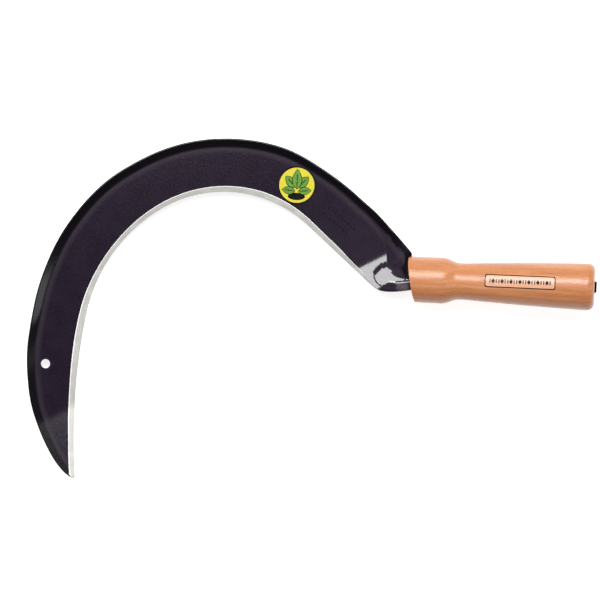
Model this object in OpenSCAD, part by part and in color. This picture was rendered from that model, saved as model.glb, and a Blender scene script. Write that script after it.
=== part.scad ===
// Hand sickle: a crescent blade pressed from one steel sheet, on a short turned wooden handle.
// The working drawing has its datum on the handle's axis, at the middle of its front face,
// with +X towards the butt, +Y towards the back of the crescent and +Z out of the ground side.
// The whole sickle is then moved so that it stands on z = 0 with its box centred on the origin.

/* [Sheet] */
// Thickness of the steel sheet
sheet_t = 1.5; // [1.2:0.1:1.8]
// Width of the blade at its crown, from cutting edge to back
blade_w = 42.4; // [39:0.2:44]
// How much narrower the blade is along its flank
flank_narrowing = 1.9; // [0:0.1:3]
// Length over which the blade narrows to its point
point_len = 100; // [80:1:120]
// How much narrower the blade is at its heel
heel_narrowing = 3.6; // [0:0.2:6]

/* [Cutting edge] */
// Straight run of the cutting edge in front of the heel
edge_run = 70.5; // [60:0.5:85]
// Heading of that straight run, measured from the handle's axis
edge_heading = 139.4; // [136:0.2:146]
// Radius of the edge at the crown
crown_r = 94; // [85:1:105]
// Angle through which the crown turns
crown_turn = 74.7; // [65:0.1:80]
// Radius of the edge at the flank
flank_r = 123; // [115:1:140]
// Angle through which the flank turns
flank_turn = 46.6; // [40:0.1:55]
// Radius of the edge towards the point
point_r = 430; // [400:10:600]
// Angle through which the last stretch turns
point_turn = 16.8; // [12:0.1:19]
// Mean width of the ground bevel
bevel_w = 4.4; // [3.5:0.1:5.5]
// Thickness left at the cutting edge
edge_t = 0.3; // [0.2:0.05:0.6]

/* [Back flange] */
// Width of the raised flange along the back
flange_w = 7; // [5:0.5:9]
// Height of the flange along the crescent
flange_h = 4.5; // [3:0.25:6]
// Height of the flange where it meets the handle
flange_heel_h = 9; // [7:0.5:11]

/* [Heel and tang] */
// Angle at which the heel and the handle are bent up from the blade
crank_angle = 10; // [6:0.5:13]
// Direction of the bend line across the heel
crank_dir = 28.5; // [20:0.5:36]
// Distance from the handle's face to the bend line
crank_dist = 26.5; // [22:0.5:30]
// Width of the lip rolled over the heel
lip_w = 9.3; // [7:0.1:10]
// Height of the rolled lip
lip_h = 7; // [5:0.25:8]
// Depth of the dish pressed into the heel's floor
dish_depth = 0.5; // [0:0.1:1]
// Width of the folded tang
tang_w = 7.4; // [6:0.1:7.6]
// Height of the folded tang
tang_h = 4; // [3.4:0.1:4.2]
// How far the clinched end of the tang stands out of the butt
clinch_t = 1.5; // [1:0.1:2.5]

/* [Hang hole] */
// Diameter of the hang hole
hang_d = 7; // [5:0.5:9]
// Distance of the hang hole from the point, along the edge
hang_from_point = 84.5; // [75:0.5:100]
// Distance of the hang hole from the cutting edge
hang_inset = 24.6; // [18:0.2:28]

/* [Handle] */
// Length of the handle along its axis
handle_len = 138; // [120:0.5:160]
// Diameter of the front barrel
barrel_d = 35.2; // [33:0.2:38]
// Length of the front barrel
barrel_len = 23; // [16:0.5:28]
// Diameter of the neck behind the barrel
neck_d = 28; // [25:0.5:31]
// Diameter of the grip at the butt
grip_d = 35.4; // [31:0.2:37]
// Slant of the front face
face_slant = 10.3; // [6:0.1:14]
// Bore for the tang
bore_d = 8.6; // [8.6:0.1:10]

/* [Labels] */
// Diameter of the round adhesive label
label_d = 29.2; // [24:0.2:29.6]
// Distance of the round label from the heel, along the edge
label_at = 93; // [85:0.5:120]
// Distance of the round label from the cutting edge
label_inset = 19.8; // [19.4:0.2:20]
// Thickness of the label film
film_t = 0.15; // [0.1:0.05:0.3]
// Length of the framed panel printed on the handle
panel_len = 53; // [40:0.5:70]
// Width of that panel
panel_w = 10; // [8:0.5:16]
// Distance from the handle's face to the middle of the panel
panel_at = 83; // [70:0.5:100]
// How far the panel sits above the middle of the grip
panel_lift = 1.3; // [0:0.1:3]

/* [Hidden] */
$fn = 96;

steel_colour = [0.19, 0.15, 0.21];
wood_colour = [0.88, 0.66, 0.47];
label_colour = [0.86, 0.80, 0.22];
panel_colour = [0.91, 0.72, 0.55];

// ---- shared helpers ----

function smooth(q) =
    let (c = min(1, max(0, q)))
    c * c * (3 - 2 * c);

function mix(a, b, q) = a + (b - a) * q;

function ease(a, b, q) = (a + b) / 2 - (b - a) / 2 * cos(180 * min(1, max(0, q)));

// Point on a cubic Bezier curve
function bezier(p, q) =
    pow(1 - q, 3) * p[0]
    + 3 * pow(1 - q, 2) * q * p[1]
    + 3 * (1 - q) * q * q * p[2]
    + pow(q, 3) * p[3];

function polar(len, angle) = [len * cos(angle), len * sin(angle)];

// ---- the cutting edge, a chain of tangent arcs from the heel to the point ----

heel_corner = [-27.9, -8.2];

// Each arc is [length, turn]
edge_arcs = [
    [edge_run, 0],
    [crown_r * crown_turn * PI / 180, crown_turn],
    [flank_r * flank_turn * PI / 180, flank_turn],
    [point_r * point_turn * PI / 180, point_turn],
];

function total(list, i = 0) = i == len(list) ? 0 : list[i][0] + total(list, i + 1);

edge_len = total(edge_arcs);

// Moves a pose [x, y, heading] along an arc of the given length and turn
function along(pose, arc, turn) =
    turn == 0
    ? [pose[0] + arc * cos(pose[2]), pose[1] + arc * sin(pose[2]), pose[2]]
    : let (r = arc * 180 / PI / turn, h = pose[2] + turn)
      [pose[0] + r * (sin(h) - sin(pose[2])), pose[1] - r * (cos(h) - cos(pose[2])), h];

function edge_pose(s, pose = [heel_corner[0], heel_corner[1], edge_heading], i = 0) =
    let (arc = edge_arcs[i][0], turn = edge_arcs[i][1])
    s <= arc || i == len(edge_arcs) - 1
    ? along(pose, s, turn * s / arc)
    : edge_pose(s - arc, along(pose, arc, turn), i + 1);

// Unit vector across the blade, from the cutting edge towards the back
function across(pose) = [sin(pose[2]), -cos(pose[2])];

// ---- widths and heights along the crescent ----

// Smooth reading of a list of [place, value]
function wave(s, knots, i = 0) =
    i > len(knots) - 3 || s < knots[i + 1][0]
    ? mix(knots[i][1], knots[i + 1][1], smooth((s - knots[i][0]) / (knots[i + 1][0] - knots[i][0])))
    : wave(s, knots, i + 1);

// Trimming by hand leaves the back a little uneven
back_wave = [[40, 0.5], [62, 0], [84, -1.1], [110, 0.4], [150, 0.1], [185, -0.1], [212, 1], [245, 0.4],
    [275, -0.3], [345, -0.3], [365, 0.1], [400, -1.6]];

// The crescent narrows to its point along a rounded curve, and a little towards its heel
function crescent_w(s) =
    let (
        q = min(1, (edge_len - s) / point_len),
        h = max(0, 1 - s / 40),
        even = blade_w - flank_narrowing * smooth((s - 60) / 90) - heel_narrowing * pow(h, 1.3)
    )
    (even + wave(s, back_wave)) * pow(1 - pow(1 - q, 1.7), 0.66);

// Hand grinding starts narrow at the heel, and leaves the bevel wider at the crown and on the flank
bevel_wave = [[0, -3.2], [22, -1.6], [46, -0.5], [110, 0.3], [190, -0.6], [240, -0.8], [310, 0.9],
    [365, 0.1], [392, -0.5]];
function bevel_at(s) = min(bevel_w + wave(s, bevel_wave), 0.72 * crescent_w(s));

// The flange widens into the wall of the heel's gutter
function flange_at(s) =
    let (grow = pow(max(0, 42 - s) / 42, 2.6))
    min(min(22, flange_w + 21 * grow), 0.24 * crescent_w(s) + 100 * smooth((edge_len - 20 - s) / 60));

// It rises towards the handle and dies out before the point
function flange_rise(s) =
    let (fade_start = edge_len - 130)
    mix(mix(flange_h, 6.5, smooth(1 - s / 60)), 0, smooth((s - fade_start) / 75));

// ---- relief of the sheet, as a height over the plane of the blade ----

// The heel bends up along a straight line, with a soft radius
bend_soft = 2.5;
function bend(p) =
    let (d = crank_dist + p[0] * sin(crank_dir) - p[1] * cos(crank_dir))
    tan(crank_angle) * (d < -bend_soft ? 0 : d > bend_soft ? d : pow(d + bend_soft, 2) / (4 * bend_soft));

// A shallow oval dish, with its rounded nose towards the blade
dish_centre = [-17, 1.5];
dish_half = [12, 9];
function dish(p) =
    let (x = (p[0] - dish_centre[0]) / dish_half[0], y = (p[1] - dish_centre[1]) / dish_half[1])
    -dish_depth * smooth((1.06 - sqrt(x * x + y * y)) / 0.12);

// ---- one cross-section of the sheet ----

LIP_STEPS = 8;
WEB_STEPS = 6;
WALL_STEPS = 8;
STEPS = LIP_STEPS + WEB_STEPS + WALL_STEPS;

// The underside of the sheet as [distance across, height], from the free edge to the back.
// curl runs from 0, a flat ground bevel, to 1, a lip rolled over the floor.
function underside(w, bevel, lip, curl, wall, rise) =
    let (start = mix(bevel, lip, curl), valley = w - wall)
    concat(
        [for (k = [0 : LIP_STEPS - 1])
            let (q = 1 - k / LIP_STEPS, flat = bevel * (1 - q), a = 180 * q)
            [mix(flat, lip * (1 - sin(a)), curl), curl * lip_h / 2 * (1 - cos(a))]],
        [for (k = [0 : WEB_STEPS - 1]) [mix(start, valley, k / WEB_STEPS), 0]],
        [for (k = [0 : WALL_STEPS])
            let (q = pow(k / WALL_STEPS, 1.3))
            [valley + wall * q, rise * 1.2 * q * q / (q + 0.2)]]
    );

// Thickness of the sheet along the same points: the bevel thins it, a rolled lip keeps it
function sheet_at(k, curl) =
    let (q = k < LIP_STEPS ? 1 - k / LIP_STEPS : 0)
    mix(mix(sheet_t, edge_t, q), sheet_t, curl);

function unit(v) = v / norm(v);

// Left-hand normals of a row of points
function normals(row) =
    [for (k = [0 : len(row) - 1])
        let (t = unit(row[min(len(row) - 1, k + 1)] - row[max(0, k - 1)]))
        [-t[1], t[0]]];

// Stands a cross-section up at a place on the plan, facing along dir
function place(origin, dir, row) =
    [for (k = [0 : len(row) - 1])
        let (p = origin + dir * row[k][0], on_floor = k % len(row) > LIP_STEPS / 2)
        [p[0], p[1], row[k][1] + bend(p) + (on_floor ? dish(p) : 0)]];

// A closed ring: the underside towards the back, then the top face returning
function ring(origin, dir, w, bevel, lip, curl, wall, rise) =
    let (
        low = underside(w, bevel, lip, curl, wall, rise),
        n = normals(low),
        high = [for (k = [0 : STEPS]) low[k] + n[k] * sheet_at(k, curl)],
        low_3d = place(origin, dir, low),
        high_3d = place(origin, dir, high)
    )
    concat(low_3d, [for (k = [STEPS : -1 : 0]) high_3d[k]]);

function crescent_ring(s) =
    let (pose = edge_pose(s))
    ring([pose[0], pose[1]], across(pose), crescent_w(s), bevel_at(s), 0, 0, flange_at(s), flange_rise(s));

// ---- the handle's front, against which the sheet ends ----

fit_gap = 0.2;
front_round = 4;
front_len = 4.4;
// The tang lies a little lower than the sheet that it continues
tang_sink = 0.65;
axis_over_blade = crank_dist * tan(crank_angle) + tang_h / 2 - tang_sink;

// Where the front stands along the handle's axis: the sawn face, or the rounded corner outside it
function front_at(y, h) =
    let (out = norm([y, h]) - barrel_d / 2 + front_round)
    max(
        -y * tan(face_slant),
        front_round - front_len - sqrt(max(0, pow(front_round, 2) - pow(max(0, out), 2)))
    );

// How far a point of the sheet, at a height over the blade, may reach along x
function front_x(y, height) =
    let (
        z = height - axis_over_blade,
        s = front_at(y, z / cos(crank_angle)) - fit_gap,
        h = (z - s * sin(crank_angle)) / cos(crank_angle)
    )
    s * cos(crank_angle) - h * sin(crank_angle);

// ---- the heel, a fan of cross-sections from the end of the bevel to the handle ----

heel_back = heel_corner + across([0, 0, edge_heading]) * crescent_w(0);
face_low = [2.5, -7.8];
face_back = [0.6, 17];
heel_crowd = 5;
heel_low_curve = [
    heel_corner,
    heel_corner + polar(6, edge_heading - 180),
    face_low + polar(13, 193),
    face_low,
];
function heel_ring(f) =
    let (
        low = bezier(heel_low_curve, f),
        back = mix(heel_back, face_back, f),
        w = norm(back - low),
        curl = smooth(f / 0.22),
        lip = lip_w * sin(90 * min(1, f / 0.3)) * (1 - 0.27 * f * f),
        wall = w * mix(0.567, 0.69, f),
        rise = mix(flange_rise(0), flange_heel_h, smooth(f)),
        free = ring(low, unit(back - low), w, bevel_at(0), lip, curl, wall, rise)
    )
    // the last rings crowd up against the handle's front
    [for (p = free) [min(p[0], front_x(p[1], p[2]) - heel_crowd * (1 - f)), p[1], p[2]]];

// ---- the sheet as one closed skin ----

heel_count = 18;
near_count = 14;
far_count = 58;
near_len = 45;
point_gap = 0.6;
far_len = edge_len - near_len - point_gap;

rings = concat(
    [for (i = [0 : heel_count - 1]) heel_ring(1 - i / heel_count)],
    [for (i = [0 : near_count - 1]) crescent_ring(near_len * i / near_count)],
    // the spacing closes up towards the point, where the outline turns fastest
    [for (i = [0 : far_count])
        let (q = i / far_count)
        crescent_ring(near_len + far_len * q * (1.35 - 0.35 * q))]
);

module skin(rings) {
    n = len(rings[0]);
    last = (len(rings) - 1) * n;
    half = n / 2;
    sides = [for (r = [0 : len(rings) - 2], k = [0 : n - 1])
        let (a = r * n + k, b = r * n + (k + 1) % n)
        each [[a, b, b + n], [a, b + n, a + n]]];
    near_cap = [for (k = [0 : half - 2]) each [[k, n - 1 - k, n - 2 - k], [k, n - 2 - k, k + 1]]];
    far_cap = [for (t = near_cap) [t[0] + last, t[2] + last, t[1] + last]];
    polyhedron([for (r = rings) each r], concat(sides, near_cap, far_cap), convexity = 8);
}

// ---- where things stand ----

axis_z = barrel_d / 2 * cos(crank_angle);
blade_z = axis_z - axis_over_blade;

butt_x = (handle_len + clinch_t) * cos(crank_angle);
plan_x = [for (r = rings, p = r) p[0]];
plan_y = [for (r = rings, p = r) p[1]];
centre = [(min(plan_x) + butt_x) / 2, (min(plan_y) + max(plan_y)) / 2];

module on_drawing() {
    translate([-centre[0], -centre[1], 0])
        children();
}

// Puts a child's z axis on the handle's axis, with its -x side up
module on_handle_axis() {
    on_drawing()
        translate([0, 0, axis_z])
            rotate([0, 90 - crank_angle, 0])
                children();
}

// ---- the handle ----

butt_round = 5.2;
shoulder_len = 13.6;
neck_len = 4;
CURVE_STEPS = 12;

function quarter(centre_r, centre_s, radius, from) =
    [for (k = [0 : CURVE_STEPS])
        let (a = from + 90 * k / CURVE_STEPS)
        [centre_r + radius * cos(a), centre_s + radius * sin(a)]];

// The shoulder falls along an S-curve
function shoulder(r0, r1, s0, s1) =
    [for (k = [1 : CURVE_STEPS]) [ease(r0, r1, k / CURVE_STEPS), mix(s0, s1, k / CURVE_STEPS)]];

// The grip swells towards the butt, less and less
function flare(r0, r1, s0, s1) =
    [for (k = [1 : CURVE_STEPS])
        let (q = k / CURVE_STEPS)
        [mix(r0, r1, q * (1.4 - 0.4 * q)), mix(s0, s1, q)]];

function handle_outline(proud = 0) =
    let (
        barrel = barrel_d / 2 + proud,
        neck = neck_d / 2 + proud,
        grip = grip_d / 2 + proud,
        shoulder_end = barrel_len + shoulder_len
    )
    concat(
        [[0, -front_len - proud]],
        quarter(barrel - front_round, front_round - front_len - proud, front_round, -90),
        [[barrel, barrel_len]],
        shoulder(barrel, neck, barrel_len, shoulder_end),
        [[neck, shoulder_end + neck_len]],
        flare(neck, grip, shoulder_end + neck_len, handle_len - butt_round),
        quarter(grip - butt_round, handle_len - butt_round + proud, butt_round, 0),
        [[0, handle_len + proud]]
    );

// A turned blank with its front sawn off at a slant, and a bore for the tang
module handle() {
    reach = 2 * barrel_d;
    color(wood_colour)
        on_handle_axis()
            difference() {
                rotate_extrude() polygon(handle_outline());
                rotate([-face_slant, 0, 0])
                    translate([-reach / 2, -reach / 2, -reach])
                        cube(reach);
                translate([0, 0, -barrel_d])
                    cylinder(d = bore_d, h = handle_len + reach);
            }
}

// ---- the blade ----

tang_start = -2.5;
clinch_w = 8.6;
clinch_h = 5;

// The sheet's end, folded flat on itself into a bar
module tang() {
    linear_extrude(handle_len + clinch_t - tang_start)
        square([tang_h, tang_w], center = true);
}

module clinch() {
    linear_extrude(clinch_t - fit_gap)
        square([clinch_h, clinch_w], center = true);
}

module blade() {
    hang_pose = edge_pose(edge_len - hang_from_point);
    hang = [hang_pose[0], hang_pose[1]] + hang_inset * across(hang_pose);
    color(steel_colour) {
        difference() {
            on_drawing()
                translate([0, 0, blade_z])
                    skin(rings);
            on_drawing()
                translate([hang[0], hang[1], blade_z - sheet_t])
                    cylinder(d = hang_d, h = 4 * sheet_t);
        }
        on_handle_axis() {
            translate([0, 0, tang_start]) tang();
            translate([0, 0, handle_len + fit_gap]) clinch();
        }
    }
}

// ---- labels ----

module blade_label() {
    pose = edge_pose(label_at);
    spot = [pose[0], pose[1]] + label_inset * across(pose);
    color(label_colour)
        on_drawing()
            translate([spot[0], spot[1], blade_z + sheet_t])
                cylinder(d = label_d, h = film_t);
}

// A film that follows the grip, cut to the outline of the panel
module handle_panel() {
    color(panel_colour)
        on_handle_axis()
            intersection() {
                difference() {
                    rotate_extrude() polygon(handle_outline(film_t));
                    rotate_extrude() polygon(handle_outline());
                }
                translate([-barrel_d, panel_lift - panel_w / 2, panel_at - panel_len / 2])
                    cube([barrel_d, panel_w, panel_len]);
            }
}

blade();
handle();
blade_label();
handle_panel();
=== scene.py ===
import cmath
import math

import bmesh
import bpy
from mathutils import Euler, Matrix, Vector


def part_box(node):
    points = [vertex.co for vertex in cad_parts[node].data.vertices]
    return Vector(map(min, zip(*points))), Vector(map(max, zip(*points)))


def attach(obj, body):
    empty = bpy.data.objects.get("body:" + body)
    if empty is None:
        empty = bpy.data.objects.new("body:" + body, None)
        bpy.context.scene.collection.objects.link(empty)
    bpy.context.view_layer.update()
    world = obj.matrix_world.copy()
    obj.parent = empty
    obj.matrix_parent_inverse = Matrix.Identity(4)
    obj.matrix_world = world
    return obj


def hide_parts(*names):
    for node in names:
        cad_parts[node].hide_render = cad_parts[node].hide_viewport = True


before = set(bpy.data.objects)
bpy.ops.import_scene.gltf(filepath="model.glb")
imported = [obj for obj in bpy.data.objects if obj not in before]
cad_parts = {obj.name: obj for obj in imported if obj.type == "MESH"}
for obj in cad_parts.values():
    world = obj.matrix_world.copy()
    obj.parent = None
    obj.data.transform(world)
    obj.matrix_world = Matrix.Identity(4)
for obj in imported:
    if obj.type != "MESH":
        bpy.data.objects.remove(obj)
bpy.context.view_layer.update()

# The shapes are drawn as the CAD model draws them: in millimetres, with the datum on the handle's
# axis at the middle of its front, +X to the butt and +Y to the back of the crescent. Points on the
# drawing's plan are complex numbers. MM and SHIFT take the drawing to the frame, in metres.
MM = 0.001

# ---- driving dimensions, the same as the CAD model's ----

SHEET_T = 1.5
BLADE_W = 42.4
# the sheet narrows by a little along the crown, at the heel, and down to the point
FLANK_NARROWING = 1.9
FLANK_FROM = 60
FLANK_OVER = 90
HEEL_NARROWING = 3.6
HEEL_NARROW_LEN = 40
POINT_LEN = 100
EDGE_HEADING = 139.4
HEEL_CORNER = -27.9 - 8.2j
# the cutting edge, as arcs of (radius, turn in degrees); the first is a straight run
EDGE_RUN = 70.5
EDGE_ARCS = ((94, 74.7), (123, 46.6), (430, 16.8))
BEVEL_W = 4.4
BEVEL_MOST = 0.72
# wandering of the back and of the bevel, as (distance from the heel, extra width)
BACK_WAVE = (
    (40, 0.5), (62, 0), (84, -1.1), (110, 0.4), (150, 0.1), (185, -0.1), (212, 1), (245, 0.4),
    (275, -0.3), (345, -0.3), (365, 0.1), (400, -1.6),
)
BEVEL_WAVE = (
    (0, -3.2), (22, -1.6), (46, -0.5), (110, 0.3), (190, -0.6), (240, -0.8), (310, 0.9), (365, 0.1),
    (392, -0.5),
)
EDGE_T = 0.3
FLANGE_W = 7
FLANGE_H = 4.5
FLANGE_HEEL_H = 9
# the flange widens over its last stretch to the heel, and runs out before the point
FLANGE_GROW_LEN = 42
FLANGE_GROWTH = 21
FLANGE_MOST = 22
FLANGE_NEAR_HEEL_H = 6.5
FLANGE_POINT_SHARE = 0.24
FLANGE_FADE_FROM = 130
FLANGE_FADE_LEN = 75
CRANK_ANGLE = 10
CRANK_DIR = 28.5
CRANK_DIST = 26.5
BEND_SOFT = 2.5
LIP_W = 9.3
LIP_H = 7
# shares of the heel's length over which the lip rolls up and widens, and how it tapers
CURL_DONE = 0.22
LIP_DONE = 0.3
LIP_TAPER = 0.27
# share of the heel's width that its gutter wall takes, at its start and at the handle
HEEL_WALL = (0.567, 0.69)
DISH_DEPTH = 0.5
DISH_RIM = 0.08
DISH_CENTRE = -17 + 1.5j
DISH_HALF = (12, 9)
FACE_LOW = 2.5 - 7.8j
FACE_BACK = 0.6 + 17j
TANG_W = 7.4
TANG_H = 4
TANG_SINK = 0.65
TANG_START = -2.5
CLINCH_T = 1.5
CLINCH_W = 8.6
CLINCH_H = 5
HANG_D = 7
HANG_FROM_POINT = 84.5
HANG_INSET = 24.6
HANDLE_LEN = 138
BARREL_D = 35.2
BARREL_LEN = 23
NECK_D = 28
NECK_LEN = 4
SHOULDER_LEN = 13.6
GRIP_D = 35.4
GRIP_BOW = 0.4
FRONT_ROUND = 4
FRONT_LEN = 4.4
BUTT_ROUND = 5.2
FACE_SLANT = 10.3
BORE_D = 8.6
LABEL_D = 29.2
LABEL_AT = 93
LABEL_INSET = 19.8
PANEL_LEN = 53
PANEL_W = 10
PANEL_AT = 83
PANEL_LIFT = 1.3

# ---- shared helpers ----


def clamp(q):
    return min(1.0, max(0.0, q))


def smooth(q):
    c = clamp(q)
    return c * c * (3 - 2 * c)


def mix(a, b, q):
    return a + (b - a) * q


def ease(a, b, q):
    return (a + b) / 2 - (b - a) / 2 * math.cos(math.pi * clamp(q))


def unit(degrees):
    return cmath.exp(1j * math.radians(degrees))


def bezier(points, q):
    a, b, c, d = points
    return (1 - q) ** 3 * a + 3 * (1 - q) ** 2 * q * b + 3 * (1 - q) * q * q * c + q**3 * d


def bowed(q, bow):
    """Runs from 0 to 1 as q does, but faster at first."""
    return q * (1 + bow - bow * q)


def wave(knots, x):
    """Smooth reading of a list of (x, value)."""
    for (x0, y0), (x1, y1) in zip(knots, knots[1:]):
        if x <= x1:
            return mix(y0, y1, smooth((x - x0) / (x1 - x0)))
    return knots[-1][1]


def steps(count):
    return [k / count for k in range(count + 1)]


# ---- from the drawing to the frame ----

AXIS_OVER_BLADE = CRANK_DIST * math.tan(math.radians(CRANK_ANGLE)) + TANG_H / 2 - TANG_SINK
AXIS_Z = BARREL_D / 2 * math.cos(math.radians(CRANK_ANGLE))
BLADE_Z = AXIS_Z - AXIS_OVER_BLADE
BLADE_TOP = BLADE_Z + SHEET_T


def on_axis(along, out=0.0, up=0.0):
    """A point by its place along the handle's axis, across it towards +Y, and over it."""
    c = unit(CRANK_ANGLE)
    return Vector((along * c.real - up * c.imag, out, AXIS_Z + along * c.imag + up * c.real))


# ---- the cutting edge ----

EDGE_LEN = EDGE_RUN + sum(radius * math.radians(turn) for radius, turn in EDGE_ARCS)


def edge_pose(s):
    """Point on the cutting edge at a distance s from the heel, and the unit heading there."""
    point = HEEL_CORNER + min(s, EDGE_RUN) * unit(EDGE_HEADING)
    heading = EDGE_HEADING
    left = s - EDGE_RUN
    for radius, turn in EDGE_ARCS:
        if left <= 0:
            break
        part = min(left, radius * math.radians(turn)) / radius
        new = heading + math.degrees(part)
        point += -1j * radius * (unit(new) - unit(heading))
        heading = new
        left -= radius * math.radians(turn)
    return point, unit(heading)


def across(heading):
    """Unit vector from the cutting edge towards the back."""
    return -1j * heading


def from_edge(s, inset):
    point, heading = edge_pose(s)
    return point + inset * across(heading)


def crescent_w(s):
    q = min(1.0, (EDGE_LEN - s) / POINT_LEN)
    heel = max(0.0, 1 - s / HEEL_NARROW_LEN)
    even = BLADE_W - FLANK_NARROWING * smooth((s - FLANK_FROM) / FLANK_OVER) - HEEL_NARROWING * heel**1.3
    return (even + wave(BACK_WAVE, s)) * (1 - (1 - q) ** 1.7) ** 0.66


def bevel_at(s):
    return min(BEVEL_W + wave(BEVEL_WAVE, s), BEVEL_MOST * crescent_w(s))


def flange_at(s):
    grow = (max(0.0, FLANGE_GROW_LEN - s) / FLANGE_GROW_LEN) ** 2.6
    # the narrowing sheet limits the flange only near the point
    near_point = FLANGE_POINT_SHARE * crescent_w(s) + 100 * smooth((EDGE_LEN - 20 - s) / 60)
    return min(FLANGE_MOST, FLANGE_W + FLANGE_GROWTH * grow, near_point)


def flange_rise(s):
    body = mix(FLANGE_H, FLANGE_NEAR_HEEL_H, smooth(1 - s / 60))
    return mix(body, 0, smooth((s - EDGE_LEN + FLANGE_FADE_FROM) / FLANGE_FADE_LEN))


# ---- relief of the sheet ----


def bend(p):
    """Height that the bend across the heel gives to a point of the plan.

    Known fault: its line has no end, so it also lifts the last stretch before the point.
    """
    d = CRANK_DIST - (p * unit(-CRANK_DIR)).imag
    if d < -BEND_SOFT:
        return 0.0
    rise = d if d > BEND_SOFT else (d + BEND_SOFT) ** 2 / (4 * BEND_SOFT)
    return math.tan(math.radians(CRANK_ANGLE)) * rise


def dish(p):
    """Height of the shallow oval dish pressed into the heel; it has a crisp rim."""
    q = p - DISH_CENTRE
    shade_reach = math.hypot(q.real / DISH_HALF[0], q.imag / DISH_HALF[1])
    return -DISH_DEPTH * smooth((1 + DISH_RIM / 2 - shade_reach) / DISH_RIM)


# ---- one cross-section of the sheet ----

LIP_STEPS = 16
WEB_STEPS = 24
WALL_STEPS = 16
EASE_STEPS = 3
STEPS = LIP_STEPS + WEB_STEPS + WALL_STEPS
SHEARED_EASE = 0.3
WALL_CURVE = 0.2
# how far the inner side of the rolled lip reaches past its outer side
RAW_SLANT = 1.0


def underside(w, bevel, lip, curl, wall, rise):
    """The underside as complex points (distance across, height), from the free edge to the back.

    lip is how far the rolled lip reaches in, and wall how wide the flange is that rises by rise;
    curl runs from 0, a flat ground bevel, to 1, a lip rolled over the floor.
    """
    start = mix(bevel, lip, curl)
    valley = w - wall
    row = []
    for q in steps(LIP_STEPS)[:-1]:
        a = math.pi * (1 - q)
        rolled = lip * (1 - math.sin(a))
        row.append(complex(mix(bevel * q, rolled, curl), curl * LIP_H / 2 * (1 - math.cos(a))))
    row += [complex(mix(start, valley, q)) for q in steps(WEB_STEPS)[:-1]]
    for q in steps(WALL_STEPS):
        r = q**1.3
        row.append(complex(valley + wall * r, rise * (1 + WALL_CURVE) * r * r / (r + WALL_CURVE)))
    return row


def tangents(row):
    last = len(row) - 1
    ends = [row[min(last, k + 1)] - row[max(0, k - 1)] for k in range(last + 1)]
    return [e / abs(e) for e in ends]


def sheet_at(k, curl):
    thin = 1 - k / LIP_STEPS if k < LIP_STEPS else 0
    return mix(mix(SHEET_T, EDGE_T, thin), SHEET_T, curl)


def rim(a, b, out, radius):
    """The sheet's edge from corner a to corner b, facing out, with both corners eased."""
    along = (b - a) / abs(b - a)
    turns = [k / EASE_STEPS * math.pi / 2 for k in range(EASE_STEPS + 1)]
    near = a + radius * (along - out)
    far = b - radius * (along + out)
    first = [near + radius * (out * math.sin(t) - along * math.cos(t)) for t in turns]
    return first + [far + radius * (out * math.cos(t) + along * math.sin(t)) for t in turns]


def section(w, bevel, lip, curl, wall, rise):
    """A closed cross-section: the underside, the back rim, the top face home, the front rim."""
    low = underside(w, bevel, lip, curl, wall, rise)
    way = tangents(low)
    high = [p + 1j * t * sheet_at(k, curl) for k, (p, t) in enumerate(zip(low, way))]
    high[0] += RAW_SLANT * curl
    front_ease = min(SHEARED_EASE, 0.35 * sheet_at(0, curl))
    back = rim(low[-1], high[-1], way[-1], min(SHEARED_EASE, 0.3 * abs(wall) + 0.02))
    front = rim(high[0], low[0], -way[0], front_ease)
    return low[1:-1] + back + high[-2:0:-1] + front


RING = 2 * (STEPS - 1) + 4 * (EASE_STEPS + 1)
TOP_START = STEPS - 1 + 2 * (EASE_STEPS + 1)
# where the ring's ground segments start: the bevel's top face, then the cutting edge
GROUND_FROM = TOP_START + STEPS - 1 - LIP_STEPS
# where the segments of the cutting edge, or of the lip's sheared rim, start
RIM_FROM = RING - 2 * (EASE_STEPS + 1)
# the steps across the sheet that the dish can press down
FLOOR_KS = range(LIP_STEPS // 2 + 1, STEPS + 1)


def cross_index(k):
    """Which step across the sheet the ring's point k belongs to."""
    if k < STEPS - 1:
        return k + 1
    if k < TOP_START:
        return STEPS
    if k < TOP_START + STEPS - 1:
        return STEPS - 1 - (k - TOP_START)
    return 0


def stand(origin, direction, row):
    """Stands a cross-section up on the plan; returns (x, y, height over the blade's plane)."""
    placed = []
    for k, q in enumerate(row):
        p = origin + direction * q.real
        pressed = dish(p) if cross_index(k) in FLOOR_KS else 0.0
        placed.append(Vector((p.real, p.imag, q.imag + bend(p) + pressed)))
    return placed


def crescent_ring(s):
    point, heading = edge_pose(s)
    row = section(crescent_w(s), bevel_at(s), 0, 0, flange_at(s), flange_rise(s))
    return s, row, stand(point, across(heading), row)


# ---- the heel ----

HEEL_RUN = 30
HEEL_BACK = from_edge(0, crescent_w(0))
HEEL_LOW_CURVE = (
    HEEL_CORNER,
    HEEL_CORNER - 6 * unit(EDGE_HEADING),
    FACE_LOW + 13 * unit(193),
    FACE_LOW,
)


def heel_ring(f):
    """The cross-section at a share f of the way from the crescent to the handle."""
    low = bezier(HEEL_LOW_CURVE, f)
    back = mix(HEEL_BACK, FACE_BACK, f)
    w = abs(back - low)
    curl = smooth(f / CURL_DONE)
    lip = LIP_W * math.sin(math.pi / 2 * min(1.0, f / LIP_DONE)) * (1 - LIP_TAPER * f * f)
    wall = w * mix(*HEEL_WALL, f)
    rise = mix(flange_rise(0), FLANGE_HEEL_H, smooth(f))
    row = section(w, bevel_at(0), lip, curl, wall, rise)
    return -HEEL_RUN * f, row, stand(low, (back - low) / w, row)


# ---- the whole sheet, and the move from the drawing to the frame ----

HEEL_RINGS = 44
NEAR_RINGS = 30
FAR_RINGS = 150
FAR_BOW = 0.35
NEAR_LEN = 45
POINT_GAP = 0.6


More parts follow.
